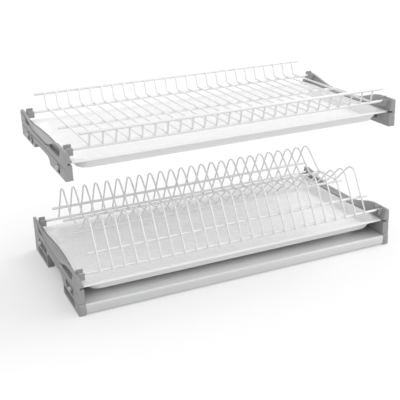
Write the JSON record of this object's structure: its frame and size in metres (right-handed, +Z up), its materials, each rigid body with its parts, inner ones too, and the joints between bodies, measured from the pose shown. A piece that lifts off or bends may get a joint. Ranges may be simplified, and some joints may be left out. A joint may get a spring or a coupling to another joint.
{
  "type": "kitchen drying rack for a wall cabinet",
  "caption": "Cabinet dish drainer with an upper cup rack, a lower plate rack of bent wires, drip trays and grey end brackets",
  "frame": {"origin": "middle of the width and depth, on the underside of the lower frame's corners", "axes": "+X along the width to the right, -Y to the person in front, +Z up"},
  "size_m": [0.564, 0.279, 0.2839],
  "materials": {
    "bracket_plastic": "satin grey moulding",
    "tray_plastic": "thin white pressed sheet",
    "wire_coating": "white coated steel wire",
    "profile_aluminium": "satin anodised",
    "dowel_nylon": "natural nylon",
    "screw_steel": "zinc plated"
  },
  "bodies": {
    "frame": {"lower_left_bracket": "bracket_plastic", "lower_right_bracket": "bracket_plastic", "upper_left_bracket": "bracket_plastic", "upper_right_bracket": "bracket_plastic", "front_left_corner": "bracket_plastic", "front_right_corner": "bracket_plastic", "rear_left_corner": "bracket_plastic", "rear_right_corner": "bracket_plastic", "front_profile": "profile_aluminium", "rear_profile": "profile_aluminium", "lower_left_front_dowel": "dowel_nylon", "lower_left_rear_dowel": "dowel_nylon", "lower_right_front_dowel": "dowel_nylon", "lower_right_rear_dowel": "dowel_nylon", "upper_left_front_dowel": "dowel_nylon", "upper_left_rear_dowel": "dowel_nylon", "upper_right_front_dowel": "dowel_nylon", "upper_right_rear_dowel": "dowel_nylon", "front_left_corner_screw": "screw_steel", "front_right_corner_screw": "screw_steel", "rear_left_corner_screw": "screw_steel", "rear_right_corner_screw": "screw_steel"},
    "lower_rack": {"plate_wire_01": "wire_coating", "plate_wire_02": "wire_coating", "plate_wire_03": "wire_coating", "plate_wire_04": "wire_coating", "plate_wire_05": "wire_coating", "plate_wire_06": "wire_coating", "plate_wire_07": "wire_coating", "plate_wire_08": "wire_coating", "plate_wire_09": "wire_coating", "plate_wire_10": "wire_coating", "plate_wire_11": "wire_coating", "plate_wire_12": "wire_coating", "plate_wire_13": "wire_coating", "plate_wire_14": "wire_coating", "plate_wire_15": "wire_coating", "plate_wire_16": "wire_coating", "plate_wire_17": "wire_coating", "plate_wire_18": "wire_coating", "plate_wire_19": "wire_coating", "plate_wire_20": "wire_coating", "plate_wire_21": "wire_coating", "plate_wire_22": "wire_coating", "plate_wire_23": "wire_coating", "plate_wire_24": "wire_coating", "plate_wire_25": "wire_coating", "front_lug_rod": "wire_coating", "front_brace_rod": "wire_coating", "front_seat_rod": "wire_coating", "rear_seat_rod": "wire_coating", "rear_brace_rod": "wire_coating", "rear_lug_rod": "wire_coating"},
    "upper_rack": {"upper_rack_floor": "wire_coating", "upper_rack_front_fence": "wire_coating", "upper_rack_rear_fence": "wire_coating"},
    "lower_drip_tray": {"lower_tray": "tray_plastic"},
    "upper_drip_tray": {"upper_tray": "tray_plastic"}
  },
  "joints": [
    {"name": "lower_rack_lift", "type": "slide", "parent": "frame", "child": "lower_rack", "axis": [0, 0, 1], "range_m": [0, 0.06]},
    {"name": "upper_rack_lift", "type": "slide", "parent": "frame", "child": "upper_rack", "axis": [0, 0, 1], "range_m": [0, 0.06]},
    {"name": "lower_tray_pull", "type": "slide", "parent": "frame", "child": "lower_drip_tray", "axis": [0, -1, 0], "range_m": [0, 0.26]},
    {"name": "upper_tray_pull", "type": "slide", "parent": "frame", "child": "upper_drip_tray", "axis": [0, -1, 0], "range_m": [0, 0.26]}
  ]
}
